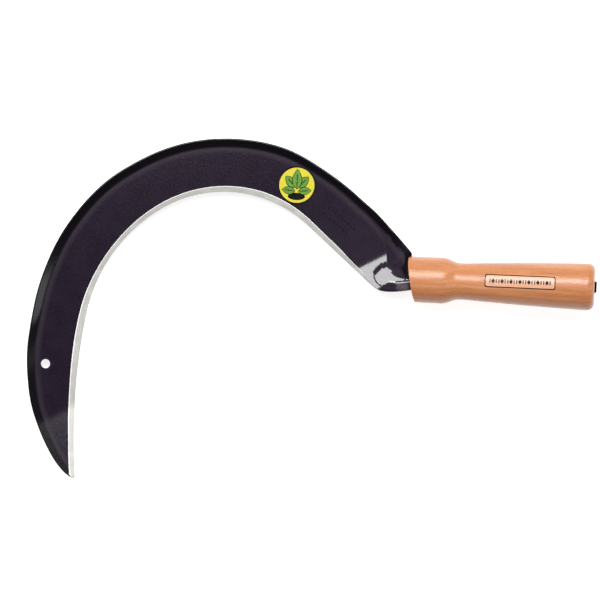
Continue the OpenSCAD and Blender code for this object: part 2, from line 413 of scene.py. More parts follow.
def sheet_rings():
    """Cross-sections from the handle to the point, each as (run, row, points)."""
    far_len = EDGE_LEN - NEAR_LEN - POINT_GAP
    near = [NEAR_LEN * k / NEAR_RINGS for k in range(NEAR_RINGS)]
    far = [NEAR_LEN + far_len * bowed(q, FAR_BOW) for q in steps(FAR_RINGS)]
    heel = [heel_ring(1 - k / HEEL_RINGS) for k in range(HEEL_RINGS)]
    return heel + [crescent_ring(s) for s in near + far]


RINGS = sheet_rings()
SHEET = [p + Vector((0, 0, BLADE_Z)) for _, _, points in RINGS for p in points]
blade_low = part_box("blade")[0]
SHIFT = Vector((
    blade_low.x / MM - min(p.x for p in SHEET),
    blade_low.y / MM - min(p.y for p in SHEET),
    0,
))

# ---- meshes ----


def finish_mesh(name, bm, materials, degrees=35):
    """Turns a bmesh of the drawing into a piece that rides on the sickle's one body."""
    for v in bm.verts:
        v.co = (v.co + SHIFT) * MM
    bmesh.ops.recalc_face_normals(bm, faces=bm.faces)
    for f in bm.faces:
        f.smooth = True
    for e in bm.edges:
        parted = len({f.material_index for f in e.link_faces}) > 1
        e.smooth = not parted and e.calc_face_angle(0) < math.radians(degrees)
    mesh = bpy.data.meshes.new(name)
    bm.to_mesh(mesh)
    bm.free()
    for material in materials:
        mesh.materials.append(material)
    made = bpy.data.objects.new(name, mesh)
    bpy.context.scene.collection.objects.link(made)
    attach(made, "root")
    return made


def new_bmesh(points, faces):
    bm = bmesh.new()
    verts = [bm.verts.new(p) for p in points]
    for face in faces:
        bm.faces.new([verts[k] for k in face])
    return bm


def plate(name, shapes, place, low, high, material):
    """Thin closed solids from flat shapes (points, faces, rise), laid by place(point, lift)."""
    bm = bmesh.new()
    for points, faces, rise in shapes:
        under = [bm.verts.new(place(p, low + rise)) for p in points]
        over = [bm.verts.new(place(p, high + rise)) for p in points]
        sides = {(face[k - 1], face[k]) for face in faces for k in range(len(face))}
        for face in faces:
            bm.faces.new([over[k] for k in face])
            bm.faces.new([under[k] for k in reversed(face)])
        for a, b in sides:
            if (b, a) not in sides:
                bm.faces.new((under[a], under[b], over[b], over[a]))
    return finish_mesh(name, bm, [material])


# ---- flat shapes, as complex points, faces and a rise over their level ----


def outlined(points, rise=0.0):
    return points, [tuple(range(len(points)))], rise


def band(outer, inner):
    """The strip between two closed outlines with the same number of points."""
    n = len(outer)
    faces = [(k, (k + 1) % n, n + (k + 1) % n, n + k) for k in range(n)]
    return outer + inner, faces, 0.0


def circle(radius, count=96, centre=0):
    return [centre + radius * unit(360 * k / count) for k in range(count)]


def rounded_box(length, width, radius, pitch=1.0):
    """A closed outline with round corners, and points at a pitch along its sides."""
    corners = (1 + 1j, -1 + 1j, -1 - 1j, 1 - 1j)
    half = complex(length / 2 - radius, width / 2 - radius)
    points = []
    for turn, corner in enumerate(corners):
        centre = complex(half.real * corner.real, half.imag * corner.imag)
        points += [centre + radius * unit(90 * turn + 90 * k / 6) for k in range(7)]
        after = corners[(turn + 1) % 4]
        goal = complex(half.real * after.real, half.imag * after.imag) + radius * unit(90 * turn + 90)
        count = max(1, round(abs(goal - points[-1]) / pitch))
        start = points[-1]
        points += [mix(start, goal, k / count) for k in range(1, count)]
    return points


def patch(stations, half, across_steps=12):
    """A filled shape with half(x) on each side of its long axis, as a grid that can follow a surface."""
    points = [complex(x, mix(-half(x), half(x), q)) for x in stations for q in steps(across_steps)]
    n = across_steps + 1
    faces = [
        (r * n + k, (r + 1) * n + k, (r + 1) * n + k + 1, r * n + k + 1)
        for r in range(len(stations) - 1)
        for k in range(across_steps)
    ]
    return points, faces, 0.0


def rounded_patch(length, width, radius):
    """A filled panel with round corners."""
    def half(x):
        out = max(0.0, abs(x) - length / 2 + radius)
        return width / 2 - radius + math.sqrt(max(0.0, radius**2 - out**2))

    return patch([length / 2 * math.sin(math.pi * (q - 0.5)) for q in steps(60)], half)


def lozenge(centre, width, height):
    """A filled lozenge with blunt ends."""
    def half(x):
        return height / 2 * (1.05 - abs(x - centre) / (width / 2))

    return patch([centre + width / 2 * q for q in (-1, -0.5, 0, 0.5, 1)], half)


def leaf(base, direction, length, width, grow=0.0):
    """A pointed oval leaf from its base; grow swells it all round."""
    def half(q):
        return (width / 2 + grow) * math.sin(math.pi * q**0.85) ** 0.8

    start = base - grow * direction
    span = length + 2 * grow
    right = [start + direction * (span * q - 1j * half(q)) for q in steps(14)]
    left = [start + direction * (span * q + 1j * half(q)) for q in steps(14)[1:-1]]
    return right + left[::-1]


def stroke(a, b, width):
    """A straight line with pointed ends."""
    side = 0.5j * width * (b - a) / abs(b - a)
    near, far = mix(a, b, 0.15), mix(a, b, 0.8)
    return [a, near - side, far - side, b, far + side, near + side]


# ---- materials ----

# colours are linear RGB
LACQUER_DEEP = (0.0082, 0.0042, 0.0115)
LACQUER_THIN = (0.0115, 0.0062, 0.0155)
LACQUER_DUSTY = (0.036, 0.027, 0.041)
LACQUER_VALLEY_HIGHLIGHT = (0.06, 0.048, 0.064)
LACQUER_POOLED_AND_SHADE = (0.0022, 0.0013, 0.003)
LACQUER_LIP_REFLECTION = (0.11, 0.09, 0.105)
# the flange's painted shade, near black: full up to the first distance from the back and gone at the
# second, beside a thin line of painted highlight as wide as the third
FLANGE_SHADE_FULL = 5.2
FLANGE_SHADE_GONE = 7.6
VALLEY_HIGHLIGHT_W = 4.5
# the painted grey reflection on the lip: its middle, and the radii where it is gone and where it is full
LIP_REFLECTION = SHIFT + Vector((-7.4, -6.4, 22.9))
LIP_REFLECTION_OUT = 6.0
LIP_REFLECTION_IN = 3.5
STEEL_DULL = (0.36, 0.355, 0.33)
STEEL_PALE = (0.50, 0.49, 0.46)
STEEL_HIGHLIGHT_LINE = (0.85, 0.84, 0.82)
BEECH_WARM = (0.50, 0.19, 0.072)
BEECH_PALE = (0.60, 0.275, 0.13)
BEECH_RING_AND_SHADE = (0.37, 0.125, 0.042)
BEECH_FLECK = (0.22, 0.075, 0.026)
BEECH_END = (0.42, 0.19, 0.08)
# painted shade on the handle's side away from the light: where it starts and where it is full, from the
# axis towards +Y
SHADE_SIDE_FROM = -4
SHADE_SIDE_TO = -17
LABEL_YELLOW = (0.58, 0.5, 0.036)
LABEL_SHADE = (0.52, 0.44, 0.026)
LABEL_PALE = (0.63, 0.6, 0.12)
LABEL_PALE_FROM = 13.1
LABEL_PALE_TO = 13.6
LEAF_GREEN = (0.075, 0.2, 0.025)
LEAF_LIGHT = (0.15, 0.31, 0.06)
INK = (0.002, 0.002, 0.002)
INK_SHADE = (0.005, 0.005, 0.005)
INK_SHINE = 0.12
FILM_WARM = (0.68, 0.36, 0.23)
FILM_SHADE = (0.6, 0.295, 0.175)
FLOOR_GREY = (0.58, 0.58, 0.58)
FLOOR_PALE = (0.62, 0.62, 0.62)
FLOOR_GLOW = 0.8


class Nodes:
    """A material's nodes. Each call adds one and returns its output socket."""

    def __init__(self, name):
        self.material = bpy.data.materials.new(name)
        self.material.use_nodes = True
        self.tree = self.material.node_tree
        self.shader = self.tree.nodes["Principled BSDF"]
        self.place = self.stretch(self.add("ShaderNodeTexCoord").outputs["Object"], 1 / MM)

    def add(self, kind, **settings):
        made = self.tree.nodes.new(kind)
        for key, value in settings.items():
            setattr(made, key, value)
        return made

    def plug(self, socket, value):
        if isinstance(value, bpy.types.NodeSocket):
            self.tree.links.new(value, socket)
        elif isinstance(value, tuple) and len(value) == 3 and len(socket.default_value) == 4:
            socket.default_value = (*value, 1)
        else:
            socket.default_value = value

    def stretch(self, at, scale, turn=0.0):
        """Coordinates scaled, then turned about Y by degrees."""
        made = self.add("ShaderNodeMapping")
        self.plug(made.inputs["Vector"], at)
        made.inputs["Scale"].default_value = scale if isinstance(scale, tuple) else (scale,) * 3
        made.inputs["Rotation"].default_value = (0, math.radians(turn), 0)
        return made.outputs["Vector"]

    def noise(self, at, pitch, detail=2.0, roughness=0.5):
        """Noise between 0 and 1 whose features are about a pitch apart, in millimetres."""
        made = self.add("ShaderNodeTexNoise")
        self.plug(made.inputs["Vector"], at)
        made.inputs["Scale"].default_value = 1 / pitch
        made.inputs["Detail"].default_value = detail
        made.inputs["Roughness"].default_value = roughness
        return made.outputs["Fac"]

    def range(self, value, low, high, to_low=0.0, to_high=1.0):
        """Takes low to to_low and high to to_high, smoothly and no further."""
        made = self.add("ShaderNodeMapRange", interpolation_type="SMOOTHSTEP")
        self.plug(made.inputs["Value"], value)
        made.inputs["From Min"].default_value = low
        made.inputs["From Max"].default_value = high
        made.inputs["To Min"].default_value = to_low
        made.inputs["To Max"].default_value = to_high
        return made.outputs["Result"]

    def math(self, operation, a, b=0.0):
        made = self.add("ShaderNodeMath", operation=operation)
        self.plug(made.inputs[0], a)
        self.plug(made.inputs[1], b)
        return made.outputs["Value"]

    def mix(self, factor, a, b):
        made = self.add("ShaderNodeMix", data_type="RGBA")
        self.plug(made.inputs["Factor"], factor)
        # the node has sockets for each data type; these are the ones for colours
        self.plug(made.inputs[6], a)
        self.plug(made.inputs[7], b)
        return made.outputs[2]

    def mottled(self, a, b):
        """Two colours in the faint mottle of printing."""
        return self.mix(self.range(self.noise(self.place, 0.5, 3), 0.3, 0.75), a, b)

    def attribute(self, name):
        return self.add("ShaderNodeAttribute", attribute_name=name).outputs["Fac"]

    def split(self, at):
        made = self.add("ShaderNodeSeparateXYZ")
        self.plug(made.inputs["Vector"], at)
        return made.outputs

    def distance(self, at, point):
        made = self.add("ShaderNodeVectorMath", operation="DISTANCE")
        self.plug(made.inputs[0], at)
        made.inputs[1].default_value = point
        return made.outputs["Value"]

    def bump(self, height, depth):
        """Bump whose height of 1 stands for a depth in millimetres."""
        made = self.add("ShaderNodeBump")
        made.inputs["Distance"].default_value = depth * MM
        self.plug(made.inputs["Height"], height)
        return made.outputs["Normal"]

    def done(self, **sockets):
        for name, value in sockets.items():
            self.plug(self.shader.inputs[name.replace("_", " ")], value)
        return self.material


def lacquered_steel():
    """Dark violet dip lacquer with orange peel, dust and fine rubs; painted shade darkens the flange,
    with a painted highlight beside it and a painted grey reflection on the lip.
    """
    n = Nodes("lacquered_steel")
    # distances along the sheet from the heel's start, and across it from the back
    run = n.attribute("run")
    to_back = n.attribute("to_back")
    cloud = n.noise(n.place, 14, 3, 0.6)
    mottle = n.noise(n.place, 1.6, 3, 0.7)
    dust = n.noise(n.place, 0.45, 1)
    rub = n.noise(n.stretch(n.place, (0.15, 1, 1)), 0.5, 2)
    web = n.mix(n.range(cloud, 0.3, 0.7), LACQUER_DEEP, LACQUER_THIN)
    web = n.mix(n.range(mottle, 0.45, 0.8, 0, 0.25), web, LACQUER_DUSTY)
    web = n.mix(n.range(dust, 0.74, 0.8, 0, 0.3), web, LACQUER_DUSTY)
    web = n.mix(n.range(rub, 0.7, 0.8, 0, 0.2), web, LACQUER_DUSTY)
    web = n.mix(n.range(run, 110, 20, 0, 0.25), web, LACQUER_DUSTY)
    # painted highlight: a paler band along the web beside the flange's valley
    web = n.mix(n.range(to_back, FLANGE_SHADE_GONE + VALLEY_HIGHLIGHT_W, FLANGE_SHADE_GONE, 0, 0.28), web, LACQUER_VALLEY_HIGHLIGHT)
    # near the handle the painted shade runs down the flange in uneven tongues
    shade_tongues = n.math("SUBTRACT", n.noise(n.place, 5, 3, 0.6), 0.5)
    shade_tongues = n.math("MULTIPLY", shade_tongues, n.range(run, 50, -10, 0, 9))
    shade_reach = n.math("SUBTRACT", to_back, n.range(run, 0, -22, 0, 12))
    shade_reach = n.math("ADD", n.math("ADD", shade_reach, shade_tongues), n.range(run, 110, 60, 0, 0.9))
    # painted shade: the tilted flange and the heel's back are darkened to near black
    color = n.mix(n.range(shade_reach, FLANGE_SHADE_GONE, FLANGE_SHADE_FULL), web, LACQUER_POOLED_AND_SHADE)
    # painted reflection: a grey patch on the rolled lip
    lip_reflection = n.range(n.distance(n.place, LIP_REFLECTION), LIP_REFLECTION_OUT, LIP_REFLECTION_IN)
    lip_reflection = n.math("MULTIPLY", lip_reflection, n.range(cloud, 0.3, 0.6, 0.5, 0.9))
    color = n.mix(lip_reflection, color, LACQUER_LIP_REFLECTION)
    rough = n.math("ADD", n.range(mottle, 0.2, 0.8, 0.1, 0.16), n.range(rub, 0.7, 0.8, 0, 0.12))
    peel = n.math("ADD", n.noise(n.place, 2.2, 2), n.math("MULTIPLY", n.noise(n.place, 0.7, 2), 0.4))
    # the sheared rim of the back takes less shine than the flat
    shine = n.range(to_back, 0.3, 1.0, 0.08, 0.38)
    return n.done(Base_Color=color, Roughness=rough, Normal=n.bump(peel, 0.012), Specular_IOR_Level=shine)


def ground_steel():
    """Bare steel ground along the edge: fine streaks, a painted highlight line along the bevel's inner
    border, and darker along the cutting edge.
    """
    n = Nodes("ground_steel")
    # share is 0 at the cutting edge and 1 at the bevel's inner border
    share = n.attribute("share")
    along = n.add("ShaderNodeCombineXYZ")
    n.plug(along.inputs["X"], n.math("MULTIPLY", n.attribute("run"), 0.03))
    n.plug(along.inputs["Y"], n.math("MULTIPLY", share, 5.0))
    streak = n.noise(along.outputs["Vector"], 0.5, 4, 0.65)
    color = n.mix(n.range(streak, 0.3, 0.75), STEEL_DULL, STEEL_PALE)
    color = n.mix(n.range(n.noise(n.place, 9, 2), 0.45, 0.8), color, STEEL_PALE)
    # painted highlight: a bright line along the bevel's inner border
    color = n.mix(n.range(share, 0.84, 0.9), color, STEEL_HIGHLIGHT_LINE)
    color = n.mix(n.range(share, 0.16, 0.04, 0, 0.6), color, STEEL_DULL)
    rough = n.range(streak, 0.2, 0.8, 0.4, 0.55)
    return n.done(Base_Color=color, Roughness=rough, Metallic=0.2, Normal=n.bump(streak, 0.015))


def beech():
    """Oiled beech turned along X: fine lines, faint rings, and the short dark flecks of its rays."""
    n = Nodes("beech")
    grain = n.stretch(n.place, 1.0, CRANK_ANGLE)
    ripple = n.noise(n.stretch(grain, (0.12, 1, 1)), 7, 2)
    line = n.noise(n.stretch(grain, (0.05, 1, 1)), 0.9, 3, 0.6)
    broad = n.noise(n.stretch(grain, (0.1, 1, 1)), 9, 3, 0.55)
    pore = n.noise(n.stretch(grain, (0.16, 1, 1)), 0.35, 2, 0.6)
    fleck = n.noise(n.stretch(grain, (0.22, 1, 1)), 0.8, 1)
    parts = n.split(grain)
    pith = n.math("ADD", n.math("MULTIPLY", parts["Y"], 0.55), n.math("MULTIPLY", parts["Z"], 0.35))
    rings = n.math("SINE", n.math("ADD", n.math("MULTIPLY", pith, 2.1), n.math("MULTIPLY", ripple, 9.0)))
    color = n.mix(n.range(broad, 0.25, 0.75), BEECH_WARM, BEECH_PALE)
    # painted shade: the handle darkens towards its side away from the light
    shade_side = n.range(parts["Y"], SHIFT.y + SHADE_SIDE_FROM, SHIFT.y + SHADE_SIDE_TO, 0, 0.85)
    color = n.mix(shade_side, color, BEECH_RING_AND_SHADE)
    color = n.mix(n.range(rings, -1, 1, 0, 0.32), color, BEECH_RING_AND_SHADE)
    color = n.mix(n.range(line, 0.4, 0.7, 0, 0.4), color, BEECH_RING_AND_SHADE)
    color = n.mix(n.range(pore, 0.52, 0.72, 0, 0.4), color, BEECH_FLECK)
    color = n.mix(n.range(fleck, 0.68, 0.76, 0, 0.6), color, BEECH_FLECK)
    color = n.mix(n.attribute("end_grain"), color, n.mix(0.5, color, BEECH_END))
    height = n.math("ADD", n.math("MULTIPLY", pore, -1.0), n.math("MULTIPLY", line, -0.6))
    return n.done(
        Base_Color=color,
        Roughness=n.range(pore, 0.35, 0.65, 0.22, 0.45),
        Normal=n.bump(height, 0.14),
        Specular_IOR_Level=0.2,
        Coat_Weight=0.45,
        Coat_Roughness=0.16,
        Coat_Normal=n.bump(height, 0.08),
    )


def printed(name, color, shade):
    """Ink on a film: one colour with the faint mottle of printing."""
    n = Nodes(name)
    rough = n.range(n.noise(n.place, 1.5, 2), 0.3, 0.7, 0.16, 0.26)
    finish = n.bump(n.noise(n.place, 0.4, 2), 0.004)
    tint = n.mottled(color, shade)
    return n.done(Base_Color=tint, Roughness=rough, Normal=finish, Specular_IOR_Level=INK_SHINE)


def label_paper(centre):
    """The label's yellow, paler in a ring just inside its black border."""
    n = Nodes("label_paper")
    pale = n.range(n.distance(n.place, centre), LABEL_PALE_FROM, LABEL_PALE_TO, 0, 0.7)
    tint = n.mix(pale, n.mottled(LABEL_YELLOW, LABEL_SHADE), LABEL_PALE)
    rough = n.range(n.noise(n.place, 2, 2), 0.3, 0.7, 0.16, 0.26)
    return n.done(Base_Color=tint, Roughness=rough, Specular_IOR_Level=0.25)


def panel_film():
    """The panel's film: the wood's colours, a little paler, with a faint grain."""
    n = Nodes("panel_film")
    grain = n.stretch(n.place, (0.05, 1, 1), CRANK_ANGLE)
    tint = n.mix(n.range(n.noise(grain, 0.9, 3), 0.3, 0.75), FILM_WARM, FILM_SHADE)
    return n.done(Base_Color=tint, Roughness=n.range(n.noise(n.place, 1, 2), 0.3, 0.7, 0.3, 0.42))


def mark_lacquer():
    """Lacquer that has filled the pressed marks."""
    n = Nodes("mark_lacquer")
    tint = n.mix(n.range(n.noise(n.place, 0.6, 2), 0.35, 0.65), LACQUER_POOLED_AND_SHADE, LACQUER_DEEP)
    return n.done(Base_Color=tint, Roughness=0.12, Specular_IOR_Level=0.2)


def pale_floor():
    n = Nodes("pale_floor")
    tint = n.mix(n.noise(n.place, 300, 2), FLOOR_GREY, FLOOR_PALE)
    return n.done(Base_Color=tint, Roughness=0.9, Emission_Color=(1, 1, 1), Emission_Strength=FLOOR_GLOW)


LACQUER = lacquered_steel()
STEEL = ground_steel()
BEECH = beech()
INK_MATERIAL = printed("black_ink", INK, INK_SHADE)
GREEN_MATERIAL = printed("green_ink", LEAF_GREEN, LEAF_LIGHT)

# ---- the blade ----

# the bevel is bare steel from here to the point, and the lip's sheared rim from there, as runs
GROUND_END = -2.5
RAW_END = -14
# how far the tang stands out of the butt, and the easing of its corners and of its hammered end's
TANG_PAST = 0.3
TANG_EASE = 0.8
CLINCH_EASE = 0.5
CLINCH_GAP = 0.05
# the cutting tools: how far they run past the sheet, the hole's eased rim, the gap at the handle
CUT_PAST = 3
HOLE_EASE = 0.2
HOLE_SIDES = 48
FRONT_GAP = 0.05
TRIM_REACH = 45


def sheet_faces():
    """Quads over the rings, with the ends closed across the sheet; also which of them are ground."""
    faces = []
    ground = []
    for r in range(len(RINGS) - 1):
        run = RINGS[r][0]
        for k in range(RING):
            a, b = r * RING + k, r * RING + (k + 1) % RING
            faces.append((a, b, b + RING, a + RING))
            is_rim = RIM_FROM <= k < RING - 1
            is_bevel = GROUND_FROM <= k < RING - 1
            ground.append(run > GROUND_END and is_bevel or run > RAW_END and is_rim)
    for start in (0, (len(RINGS) - 1) * RING):
        over = [start + TOP_START + STEPS - 2 - i for i in range(STEPS - 1)]
        caps = [(start + i, start + i + 1, over[i + 1], over[i]) for i in range(STEPS - 2)]
        caps.append(tuple(start + k for k in range(STEPS - 2, TOP_START + 1)))
        caps.append((start, *range(over[0], start + RING)))
        faces += caps
        ground += [False] * len(caps)
    return faces, ground


def sheet_bmesh():
    """The sheet's mesh, with the distances that its materials read at each point."""
    faces, ground = sheet_faces()
    bm = new_bmesh(SHEET, faces)
    for face, is_ground in zip(bm.faces, ground):
        face.material_index = int(is_ground)
    layers = [bm.verts.layers.float.new(name) for name in ("run", "share", "to_back")]
    flat = [(run, q, max(p.real for p in row)) for run, row, _ in RINGS for q in row]
    for v, (run, q, width) in zip(bm.verts, flat):
        values = (run, q.real / bevel_at(max(0, run)), width - q.real)
        for layer, value in zip(layers, values):
            v[layer] = value
    return bm


def add_tang(bm):
    """The folded bar of the tang, and its end hammered over at the butt."""
    def bar(along_from, along_to, width, height, ease_by):
        def ring(along, inset):
            outline = rounded_box(width - 2 * inset, height - 2 * inset, ease_by, 9)
            return [bm.verts.new(on_axis(along, p.real, p.imag)) for p in outline]

        inset = 0.6 * ease_by
        rings = [ring(along_from, inset), ring(along_from + ease_by, 0)]
        rings += [ring(along_to - ease_by, 0), ring(along_to, inset)]
        for a, b in zip(rings, rings[1:]):
            for k in range(len(a)):
                bm.faces.new((a[k - 1], a[k], b[k], b[k - 1]))
        bm.faces.new(rings[0][::-1])
        bm.faces.new(rings[-1])

    bar(TANG_START, HANDLE_LEN + TANG_PAST, TANG_W, TANG_H, TANG_EASE)
    bar(HANDLE_LEN + CLINCH_GAP, HANDLE_LEN + CLINCH_T, CLINCH_W, CLINCH_H, CLINCH_EASE)


def cut_away(piece, points, faces):
    """Cuts a closed tool out of a piece."""
    tool = finish_mesh("cutting_tool", new_bmesh(points, faces), [LACQUER])
    cut = piece.modifiers.new("cut", "BOOLEAN")
    cut.operation = "DIFFERENCE"
    cut.solver = "EXACT"
    cut.object = tool
    bpy.context.view_layer.objects.active = piece
    bpy.ops.object.modifier_apply(modifier=cut.name)
    bpy.data.objects.remove(tool)


def tube_faces(rings, sides, capped=True):
    """Faces over rings of points; if capped, the first and last rings are filled."""
    def at(r, k):
        return r * sides + k % sides

    faces = [
        (at(r, k), at(r, k + 1), at(r + 1, k + 1), at(r + 1, k))
        for r in range(rings - 1)
        for k in range(sides)
    ]
    if capped:
        faces += [tuple(range(sides))[::-1], tuple(range((rings - 1) * sides, rings * sides))]
    return faces


def cut_hole(blade):
    """Bores the hang hole through the finished sheet, with its rims eased."""
    hang = from_edge(EDGE_LEN - HANG_FROM_POINT, HANG_INSET)
    radius = HANG_D / 2
    heights = (-CUT_PAST, -HOLE_EASE, 0, SHEET_T, SHEET_T + HOLE_EASE, SHEET_T + CUT_PAST)
    radii = (radius + HOLE_EASE,) * 2 + (radius,) * 2 + (radius + HOLE_EASE,) * 2
    points = []
    for height, r in zip(heights, radii):
        points += [Vector((p.real, p.imag, BLADE_Z + height)) for p in circle(r, HOLE_SIDES, hang)]
    cut_away(blade, points, tube_faces(len(heights), HOLE_SIDES))


def cut_heel(blade):
    """Trims the sheet along the handle's front: the slanted sawn face, and the corner outside it."""
    outline = [(along - FRONT_GAP, radius) for along, radius in front_corner()]
    outline += [(outline[-1][0], TRIM_REACH), (TRIM_REACH, TRIM_REACH)]
    slant = math.tan(math.radians(FACE_SLANT))
    points = [
        on_axis(max(along, -p.real * slant - FRONT_GAP), p.real, p.imag)
        for along, radius in outline
        for p in circle(radius, TURN_SIDES)
    ]
    cut_away(blade, points, tube_faces(len(outline), TURN_SIDES))


def make_blade():
    """The pressed sheet with its hole and its trimmed heel, and the tang that runs on from it."""
    blade = finish_mesh("blade_sheet", sheet_bmesh(), [LACQUER, STEEL], 30)
    cut_hole(blade)
    cut_heel(blade)
    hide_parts("blade")
    bm = bmesh.new()
    add_tang(bm)
    tang = finish_mesh("blade_tang", bm, [LACQUER], 30)
    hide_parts("blade")


# ---- the handle ----

TURN_SIDES = 144
BODY_STEPS = 90
ROUND_STEPS = 10
SAWN_EASE = 0.5
# how far from the sawn face a point may lie and still be end grain
SAWN_NEAR = 0.05


def handle_radius(along):
    """Radius of the turned handle between its front corner and its butt's rounding."""
    shoulder_end = BARREL_LEN + SHOULDER_LEN
    flare_from = shoulder_end + NECK_LEN
    if along < shoulder_end:
        return ease(BARREL_D, NECK_D, (along - BARREL_LEN) / SHOULDER_LEN) / 2
    q = clamp((along - flare_from) / (HANDLE_LEN - BUTT_ROUND - flare_from))
    return mix(NECK_D, GRIP_D, bowed(q, GRIP_BOW)) / 2


def front_corner():
    """The turned corner round the handle's front, as (along, radius)."""
    centre = complex(FRONT_ROUND - FRONT_LEN, BARREL_D / 2 - FRONT_ROUND)
    arc = [centre + FRONT_ROUND * unit(180 - 90 * q) for q in steps(ROUND_STEPS)]
    return [(p.real, p.imag) for p in arc]


def turned_outline():
    """The closed outline that is revolved, as (along, radius), from the bore's front round to it."""
    corner = front_corner()
    body_to = HANDLE_LEN - BUTT_ROUND
    centre = complex(body_to, GRIP_D / 2 - BUTT_ROUND)
    arc = [centre + BUTT_ROUND * unit(90 - 90 * q) for q in steps(ROUND_STEPS)]
    points = [(-FRONT_LEN, BORE_D / 2), (-FRONT_LEN, (BORE_D / 2 + corner[0][1]) / 2)] + corner
    body = [mix(corner[-1][0], body_to, q) for q in steps(BODY_STEPS)[1:-1]]
    points += [(along, handle_radius(along)) for along in body]
    points += [(p.real, p.imag) for p in arc]
    points += [(HANDLE_LEN, mix(centre.imag, BORE_D / 2 + SAWN_EASE, 0.5))]
    points += [(HANDLE_LEN, BORE_D / 2 + SAWN_EASE), (HANDLE_LEN - SAWN_EASE, BORE_D / 2)]
    return points


def make_handle():
    """Revolves the outline, saws its front at a slant and eases the sawn corner."""
    outline = turned_outline()
    points = [
        on_axis(along, p.real, p.imag)
        for along, radius in outline
        for p in circle(radius, TURN_SIDES)
    ]
    # the last ring joins the first, so the solid closes round its bore
    tube = tube_faces(len(outline) + 1, TURN_SIDES, False)
    bm = new_bmesh(points, [tuple(k % len(points) for k in face) for face in tube])
    slant = unit(FACE_SLANT)
    normal = on_axis(slant.real, slant.imag) - on_axis(0)
    everything = bm.verts[:] + bm.edges[:] + bm.faces[:]
    bmesh.ops.bisect_plane(
        bm, geom=everything, dist=1e-5, plane_co=on_axis(0), plane_no=normal, clear_inner=True
    )
    loops = [e for e in bm.edges if e.is_boundary]
    outer = [e for e in loops if (e.verts[0].co - on_axis(0)).length > BORE_D]
    bmesh.ops.bridge_loops(bm, edges=loops)
    bmesh.ops.bevel(
        bm, geom=outer, offset=SAWN_EASE, segments=3, profile=0.5, affect="EDGES", clamp_overlap=True
    )
    end = bm.verts.layers.float.new("end_grain")
    for v in bm.verts:
        away = (v.co - on_axis(0)).dot(normal)
        v[end] = 1.0 if abs(away) < SAWN_NEAR else 0.0
    handle = finish_mesh("turned_handle", bm, [BEECH], 40)
    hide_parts("handle")


# ---- the round label ----

FILM_T = 0.15
INK_T = 0.02
LABEL_BORDER = 1.15
LEAF_LINE = 0.5
MOUND_W = 13.2
MOUND_H = 5.6
MOUND_MIDDLE = -8.6j
# leaves on the label: base, direction, length and width
LEAVES = (
    (1.6 - 4.6j, unit(6), 9.4, 5.4),
    (-1.6 - 4.6j, unit(174), 9.4, 5.4),
    (1.2 - 1.2j, unit(46), 10.6, 6.4),
    (-1.2 - 1.2j, unit(134), 10.6, 6.4),
    (0.1 - 2.6j, unit(90), 14.6, 6.8),
)
# each leaf's middle vein, and the side veins that leave it
VEIN_LEN = 0.82
VEIN_LINE = 0.5
SIDE_VEINS_AT = (0.25, 0.45, 0.62)
SIDE_VEIN_LEN = 0.3
SIDE_VEIN_TURN = 42
SIDE_VEIN_LINE = 0.22


def on_web(point, lift):
    return Vector((point.real, point.imag, BLADE_TOP + lift))


def make_label():
    """Yellow paper with a border, a mound and five leaves, each ink on a level of its own."""
    centre = from_edge(LABEL_AT, LABEL_INSET)

    def print_on(name, shapes, level, material):
        placed = [([centre + p for p in points], faces, rise) for points, faces, rise in shapes]
        low = FILM_T + INK_T * (level - 1)
        return plate(name, placed, on_web, low, low + INK_T, material)

    disc = outlined(circle(LABEL_D / 2, centre=centre))
    yellow = label_paper(on_web(centre, 0) + SHIFT)
    paper = plate("label_paper", [disc], on_web, 0, FILM_T, yellow)
    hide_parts("blade_label")
    border = band(circle(LABEL_D / 2), circle(LABEL_D / 2 - LABEL_BORDER))
    oval = [complex(MOUND_W / 2 * p.real, MOUND_H / 2 * p.imag) for p in circle(1, 48)]
    mound = [p + MOUND_MIDDLE for p in oval]
    lines = []
    leaves = []
    veins = []
    for k, (base, direction, length, width) in enumerate(LEAVES):
        # each leaf lies over the one before
        rise = 3 * INK_T * k
        lines.append(outlined(leaf(base, direction, length, width, LEAF_LINE), rise))
        leaves.append(outlined(leaf(base, direction, length, width), rise))
        veins.append(outlined(stroke(base, base + VEIN_LEN * length * direction, VEIN_LINE), rise))
        for q in SIDE_VEINS_AT:
            root = base + q * length * direction
            for side in (-1, 1):
                tip = root + SIDE_VEIN_LEN * width * direction * unit(side * SIDE_VEIN_TURN)
                veins.append(outlined(stroke(root, tip, SIDE_VEIN_LINE), rise))
    print_on("label_ink", [border, outlined(mound)] + lines, 1, INK_MATERIAL)
    print_on("label_leaves", leaves, 2, GREEN_MATERIAL)
    print_on("label_veins", veins, 3, INK_MATERIAL)


# ---- the panel printed on the handle ----

# the film reaches PANEL_FILM over the wood and as far under it, and ends just inside its frame
PANEL_FILM = 0.05
PANEL_INSET = 0.05
PANEL_CORNER = 1.6
PRINT_SINK = 0.01
PRINT_RISE = 0.03
FRAME_LINE = 0.75
# a row of lozenges with a bar on each side
ORNAMENT_COUNT = 7
ORNAMENT_PITCH = 6.7
ORNAMENT_W = 2.8
ORNAMENT_H = 3.8
BAR_AT = 2.35
BAR_HALF = 0.4
BAR_H = 3.04


def on_grip(point, lift):
    """Wraps a flat point round the grip: real part along it, imaginary part over its far side."""
    along = PANEL_AT + point.real
    radius = handle_radius(along)
    turn = (point.imag + PANEL_LIFT) / radius
    return on_axis(along, (radius + lift) * math.sin(turn), (radius + lift) * math.cos(turn))


